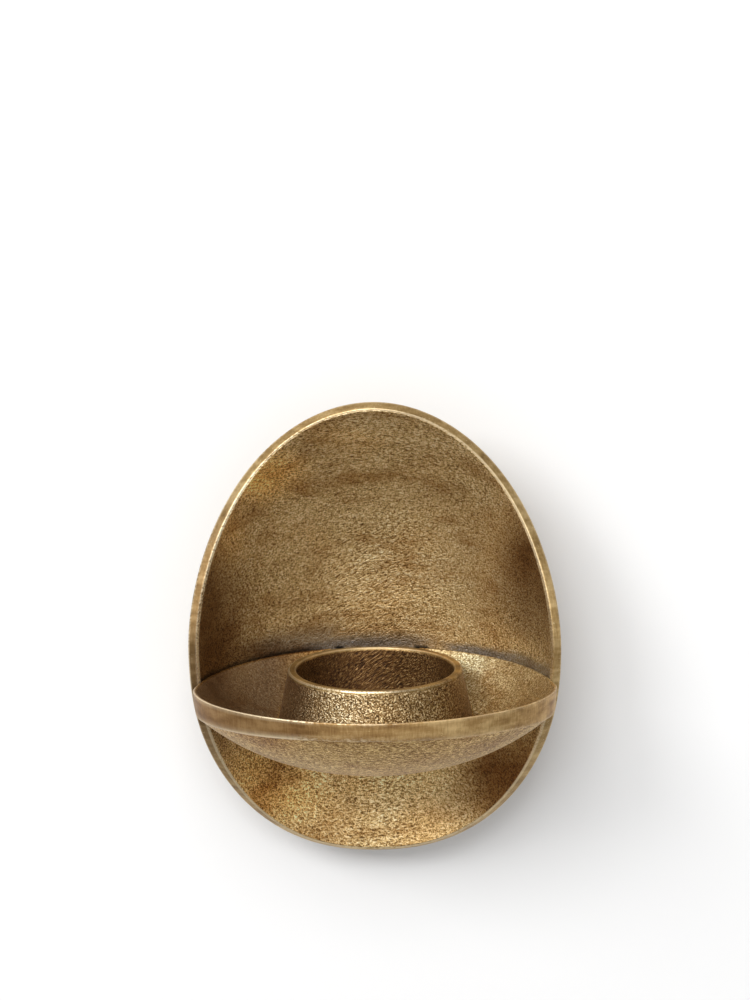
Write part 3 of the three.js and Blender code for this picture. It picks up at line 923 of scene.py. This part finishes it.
def brazeAlloy():
    material, tree = newMaterial("braze_alloy")
    where = ownPlace(tree)
    flow = noiseOf(tree, where, 700, 3.0, 0.55, 0.6)
    flux = noiseOf(tree, where, 300, 2.0, 0.5)
    stops = [(0.35, rgb(120, 92, 50)), (0.5, rgb(186, 156, 98)), (0.66, rgb(226, 204, 150))]
    colour = rampOf(tree, flow, stops)
    colour = mixOf(tree, spread(tree, flux, 0.52, 0.64, 0, 0.7), colour, (*rgb(96, 78, 58), 1))
    dress(tree, {
        "Base Color": colour, "Metallic": 0.9, "Roughness": spread(tree, flux, 0.35, 0.65, 0.3, 0.55),
        "Normal": bumpOf(tree, flow, 0.25),
    })
    return material


def zincSteel():
    # plated steel: a faint spangle, fine draw marks and a little dulling
    material, tree = newMaterial("zinc_steel")
    where = ownPlace(tree)
    spangle = addNode(tree, "TexVoronoi", {"Vector": where, "Scale": 420}).outputs["Color"]
    tone = addNode(tree, "SeparateColor", {0: spangle}).outputs[0]
    drawn = noiseOf(tree, stretched(tree, where, (0.06, 1, 1)), 3200, 2.0)
    dull = noiseOf(tree, where, 120, 3.0, 0.6)
    mottle = plus(tree, times(tree, tone, 0.4), times(tree, dull, 0.6))
    stops = [(0.25, rgb(128, 130, 132)), (0.5, rgb(168, 170, 172)), (0.75, rgb(196, 198, 202))]
    height = plus(tree, times(tree, drawn, 0.5), times(tree, tone, 0.3))
    dress(tree, {
        "Base Color": rampOf(tree, mottle, stops), "Metallic": 0.95,
        "Roughness": spread(tree, dull, 0.3, 0.7, 0.3, 0.5), "Normal": bumpOf(tree, height, 0.03),
    })
    return material


def blackRubber():
    material, tree = newMaterial("black_rubber")
    where = ownPlace(tree)
    fine = noiseOf(tree, where, 2600, 2.0)
    dust = noiseOf(tree, where, 260, 3.0, 0.6)
    stops = [(0.35, rgb(30, 30, 31)), (0.55, rgb(44, 44, 45)), (0.72, rgb(68, 66, 63))]
    dress(tree, {
        "Base Color": rampOf(tree, dust, stops), "Roughness": spread(tree, dust, 0.3, 0.7, 0.62, 0.85),
        "Normal": bumpOf(tree, fine, 0.06, 0.8),
    })
    return material


brazeMetal, zincMetal, padRubber = brazeAlloy(), zincSteel(), blackRubber()

bead = {
    "radius": 2.1, "start": 103.0, "end": 128.0, "around": 28, "steps": 90, "underBand": 2.2,
    "gap": 0.05, "taper": 0.14, "length": 21.0,
    "rippleLength": 1.3, "rippleDepth": 0.14, "rippleDrift": 1.3, "driftRate": 9.0,
}


def addBead(side):
    # a fillet of braze in the groove under the dish's rear edge, rippled as it froze
    def beadPoint(column, row):
        share = row / bead["steps"]
        angle = math.radians(bead["start"] + (bead["end"] - bead["start"]) * share)
        level = dish["rimLevel"] - bandHeight(angle) - bead["underBand"]
        past = max(0, abs(2 * share - 1) - (1 - bead["taper"])) / bead["taper"]
        wave = share * bead["length"] / bead["rippleLength"]
        wave += bead["rippleDrift"] * math.sin(share * bead["driftRate"] + side)
        radius = bead["radius"] - bead["rippleDepth"] * (1 - 0.5 * math.sin(wave))
        radius *= math.sqrt(max(0.0, 1 - past ** 2))
        turn = 2 * math.pi * column / bead["around"]
        reach = dishReach(angle) + radius * math.cos(turn)
        x, forward = side * reach * math.sin(angle), dish["centreForward"] + reach * math.cos(angle)
        return keptInside(placed(x, forward, level + radius * math.sin(turn)), bead["gap"])

    name = "left" if side < 0 else "right"
    fillet = pressedSkin("braze_fillet_" + name, bead["around"], bead["steps"], beadPoint, lambda *point: {})
    finishPiece(fillet, brazeMetal, "braze", "braze_bead_" + name, smoothAngle=60)


for side in (-1, 1):
    addBead(side)


# the pan-head screw under the dish, with its washer; heights from the frame's origin
screw = {
    "shankRadius": 1.5, "tip": -31.1, "headRadius": 2.8, "headTop": -38.6, "headBottom": -40.5,
    "headRounding": 0.75, "tipChamfer": 0.4, "slotWidth": 0.8, "slotDepth": 0.7, "edge": 0.08,
}
ring = {"radius": 3.6, "hole": 1.8, "low": screw["headTop"], "high": -38.1, "edge": 0.1}
cupScrew = addRod("cup_screw_turned", screw["shankRadius"], screw["tip"] - screw["headTop"],
                  (0, cupAxis, (screw["tip"] + screw["headTop"]) / 2))
editFaces(cupScrew, lambda normal: normal.z < -0.9)
extrude(0, 0, 0)
wider = screw["headRadius"] / screw["shankRadius"]
bpy.ops.transform.resize(value=(wider, wider, 1))
extrude(0, 0, (screw["headBottom"] - screw["headTop"]) * mm)
objectMode()
headZ, tipZ = (screw["headBottom"] + hair) * mm, (screw["tip"] - hair) * mm
bevelEdges(cupScrew, lambda a, b: max(a.z, b.z) < headZ, screw["headRounding"], 5)
bevelEdges(cupScrew, lambda a, b: min(a.z, b.z) > tipZ, screw["tipChamfer"], 2)
slotSize = (2 * screw["headRadius"] + 1, screw["slotWidth"], 2 * screw["slotDepth"])
cutOrJoin(cupScrew, addBlock("slot", slotSize, (0, cupAxis, screw["headBottom"])), "DIFFERENCE")
roundEdges(cupScrew, screw["edge"], 2)
finishPiece(cupScrew, zincMetal, "zinc_steel", "cup_screw")

washer = addRod("cup_screw_washer_ring", ring["radius"], ring["high"] - ring["low"],
                (0, cupAxis, (ring["low"] + ring["high"]) / 2))
editFaces(washer, lambda normal: abs(normal.z) > 0.9)
inset(ring["radius"] - ring["hole"], use_individual=True)
bpy.ops.mesh.bridge_edge_loops()
objectMode()
roundEdges(washer, ring["edge"])
finishPiece(washer, zincMetal, "zinc_steel", "cup_screw_washer")

# the hanger plate on the upper bosses: rounded ends, keyhole and two countersunk holes
hanger = {
    "width": 46.0, "height": 20.0, "thickness": shell["bossGap"], "corner": 9.95, "edge": 0.18,
    "keyholeHead": 4.5, "keyholeLow": 6.8, "keyholeHigh": 12.1, "keyholeSlot": 4.6, "cutter": 8.0,
    "screwX": shell["bossX"], "screwLength": 6.0, "coneDepth": 1.3, "joint": 0.3,
}
plateZ = shell["bossLevel"] - pointAbove
plateY = -hanger["thickness"] / 2
plateSize = (hanger["width"], hanger["thickness"], hanger["height"])
plate = addBlock("hanger_plate_stamped", plateSize, (0, plateY, plateZ))
bevelEdges(plate, lambda a, b: abs(a.y - b.y) > mm, hanger["corner"], 16)
slotLength = hanger["keyholeHigh"] - hanger["keyholeLow"]
slotSize = (hanger["keyholeSlot"], hanger["cutter"], slotLength)
keyholeCutters = [
    addRod("head", hanger["keyholeHead"], hanger["cutter"], (0, plateY, hanger["keyholeLow"]), True, 72),
    addBlock("slot", slotSize, (0, plateY, hanger["keyholeLow"] + slotLength / 2)),
    addRod("end", hanger["keyholeSlot"] / 2, hanger["cutter"], (0, plateY, hanger["keyholeHigh"]), True),
]
for cutter in keyholeCutters:
    cutOrJoin(plate, cutter, "DIFFERENCE")


def addCountersunk(name, x, grown):
    # shank and cone head along y, the head's face in the wall plane
    length, cone = hanger["screwLength"] - hanger["coneDepth"], hanger["coneDepth"]
    body = addRod(name, screw["shankRadius"] + grown, length, (x, -cone - length / 2, plateZ), alongY=True)
    editFaces(body, lambda normal: normal.y > 0.9)
    extrude(0, cone * mm, 0)
    flare = (screw["headRadius"] + grown) / (screw["shankRadius"] + grown)
    bpy.ops.transform.resize(value=(flare, 1, flare))
    objectMode()
    return body


for side, name in ((-1, "left"), (1, "right")):
    screwX = side * hanger["screwX"]
    cutOrJoin(plate, addCountersunk("sink", screwX, hanger["joint"]), "DIFFERENCE")
    plateScrew = addCountersunk("hanger_screw_" + name + "_turned", screwX, 0)
    slotSize = (2 * screw["headRadius"] + 1, 2 * screw["slotDepth"], screw["slotWidth"])
    cutOrJoin(plateScrew, addBlock("slot", slotSize, (screwX, 0, plateZ)), "DIFFERENCE")
    roundEdges(plateScrew, screw["edge"], 2)
    finishPiece(plateScrew, zincMetal, "zinc_steel", "hanger_screw_" + name)
roundEdges(plate, hanger["edge"])
finishPiece(plate, zincMetal, "zinc_steel", "hanger_plate")

# the wall pads on the lower bosses: a bead round the face and a shallow recess inside it
wallPad = {"recess": 0.35, "bead": 1.5, "step": 0.3, "ring": 1.2, "edge": 0.3}
for side, name in ((-1, "left"), (1, "right")):
    padPlace = (side * shell["footX"], -shell["bossGap"] / 2, shell["footLevel"] - pointAbove)
    pad = addRod("wall_pad_" + name + "_moulded", shell["footRadius"], shell["bossGap"], padPlace, True, 96)
    editFaces(pad, lambda normal: normal.y > 0.9)
    inset(wallPad["bead"])
    inset(wallPad["step"])
    bpy.ops.transform.translate(value=(0, -wallPad["recess"] * mm, 0))
    inset(wallPad["ring"])
    objectMode()
    roundEdges(pad, wallPad["edge"], 4, 50)
    finishPiece(pad, padRubber, "black_rubber", "wall_pad_" + name)

# stage, light and camera; the lamps' places are metres, their sizes too
print("stage, light and camera")
stage = {
    "wallY": 0.2, "wallWidth": 3000, "wallHeight": 2600, "floorZ": -1300, "floorSize": 6000,
    "wallColour": 0.78, "wallLift": 0.02, "floorColour": 0.74, "floorChange": 0.01,
    "sidePlace": (-1.04, -1.4, 1.0), "sideSize": 0.7, "sidePower": 20,
    "topPlace": (-0.2, -1.66, 1.12), "topSize": 0.9, "topPower": 22,
    "skySides": 0.14, "skyLow": 0.72, "skyHigh": 0.95,
}


def addPlane(name, width, height, location, rotation, material):
    deselectAll()
    bpy.ops.mesh.primitive_plane_add(size=mm, location=location, rotation=rotation)
    plane = named(name)
    plane.scale = (width, height, 1)
    settle(plane)
    plane.data.materials.append(material)


def wallPaint():
    # seen from the front by the camera and by reflections; open to everything else, so that the
    # holder's back can be looked at
    material, tree = newMaterial("pale_wall")
    path = addNode(tree, "LightPath")
    back = addNode(tree, "NewGeometry").outputs["Backfacing"]
    far = mathsOf(tree, "GREATER_THAN", path.outputs["Ray Length"], 0.01)
    farGloss = times(tree, path.outputs["Is Glossy Ray"], far)
    seen = mathsOf(tree, "MAXIMUM", path.outputs["Is Camera Ray"], farGloss)
    seen = times(tree, seen, mathsOf(tree, "SUBTRACT", 1.0, back))
    paint = addNode(tree, "BsdfDiffuse", {"Color": (stage["wallColour"],) * 3 + (1,)})
    lift = addNode(tree, "Emission", {"Color": (1, 1, 1, 1), "Strength": stage["wallLift"]})
    both = addNode(tree, "AddShader", {0: paint.outputs[0], 1: lift.outputs[0]})
    clear = addNode(tree, "BsdfTransparent")
    mixed = addNode(tree, "MixShader", {0: seen, 1: clear.outputs[0], 2: both.outputs[0]})
    showSurface(tree, mixed.outputs[0])
    return material


def floorPaint():
    material, tree = newMaterial("pale_floor")
    low, high = stage["floorColour"] - stage["floorChange"], stage["floorColour"] + stage["floorChange"]
    tone = spread(tree, noiseOf(tree, ownPlace(tree), 1.5), 0.3, 0.7, low, high)
    showSurface(tree, addNode(tree, "BsdfDiffuse", {"Color": tone}).outputs[0])
    return material


wallPlace, floorPlace = (0, stage["wallY"] * mm, 0), (0, 0, stage["floorZ"] * mm)
addPlane("wall", stage["wallWidth"], stage["wallHeight"], wallPlace, (math.pi / 2, 0, 0), wallPaint())
addPlane("floor", stage["floorSize"], stage["floorSize"], floorPlace, (0, 0, 0), floorPaint())


def addLamp(name, place, size, power, aim):
    light = bpy.data.lights.new(name, "AREA")
    light.shape = "SQUARE"
    light.size = size
    light.energy = power
    lamp = bpy.data.objects.new(name, light)
    bpy.context.scene.collection.objects.link(lamp)
    lamp.location = place
    lamp.rotation_euler = (Vector(aim) - Vector(place)).to_track_quat("-Z", "Y").to_euler()


lampAim = placed(0, 30, 0)
addLamp("side_softbox", stage["sidePlace"], stage["sideSize"], stage["sidePower"], lampAim)
addLamp("top_softbox", stage["topPlace"], stage["topSize"], stage["topPower"], lampAim)

world = bpy.data.worlds.new("studio")
bpy.context.scene.world = world
world.use_nodes = True
world.node_tree.nodes.clear()
sky = world.node_tree
ray = addNode(sky, "LightPath").outputs["Is Camera Ray"]
facing = addNode(sky, "SeparateXYZ", {0: addNode(sky, "TexCoord").outputs["Generated"]})
ahead = spread(sky, facing.outputs[1], -0.2, -0.95, stage["skySides"], 1.0)
grey = times(sky, ahead, spread(sky, facing.outputs[2], -0.7, 0.5, stage["skyLow"], stage["skyHigh"]))
shade = between(sky, ray, grey, 1.0)
backdrop = addNode(sky, "Background", {"Color": (1, 1, 1, 1), "Strength": shade})
addNode(sky, "OutputWorld", {"Surface": backdrop.outputs[0]})

# the camera that was fitted to the photograph's rims; millimetres from the frame's origin, degrees
view = {
    "distance": 900.0, "elevation": 15.781, "azimuth": 0.281, "roll": -0.657,
    "from": (0.0, -25.7, -22.2), "aim": (0.463, -25.7, 27.766), "lens": 124.69,
}


def fittedCamera():
    tilt, swing, roll = (math.radians(view[key]) for key in ("elevation", "azimuth", "roll"))
    back = Vector((math.cos(tilt) * math.sin(swing), -math.cos(tilt) * math.cos(swing), math.sin(tilt)))
    spot = Vector(view["from"]) + back * view["distance"]
    ahead = (Vector(view["aim"]) - spot).normalized()
    right = ahead.cross(Vector((0, 0, 1))).normalized()
    up = right.cross(ahead)
    turnedRight = right * math.cos(roll) + up * math.sin(roll)
    turnedUp = up * math.cos(roll) - right * math.sin(roll)
    camera = bpy.data.objects.new("camera", bpy.data.cameras.new("camera"))
    bpy.context.scene.collection.objects.link(camera)
    camera.data.lens = view["lens"]
    camera.data.clip_start = 0.05
    basis = Matrix((turnedRight, turnedUp, -ahead)).transposed().to_4x4()
    camera.matrix_world = Matrix.Translation(spot * mm) @ basis
    return camera


bpy.context.scene.camera = fittedCamera()
bpy.context.scene.view_settings.view_transform = "Standard"
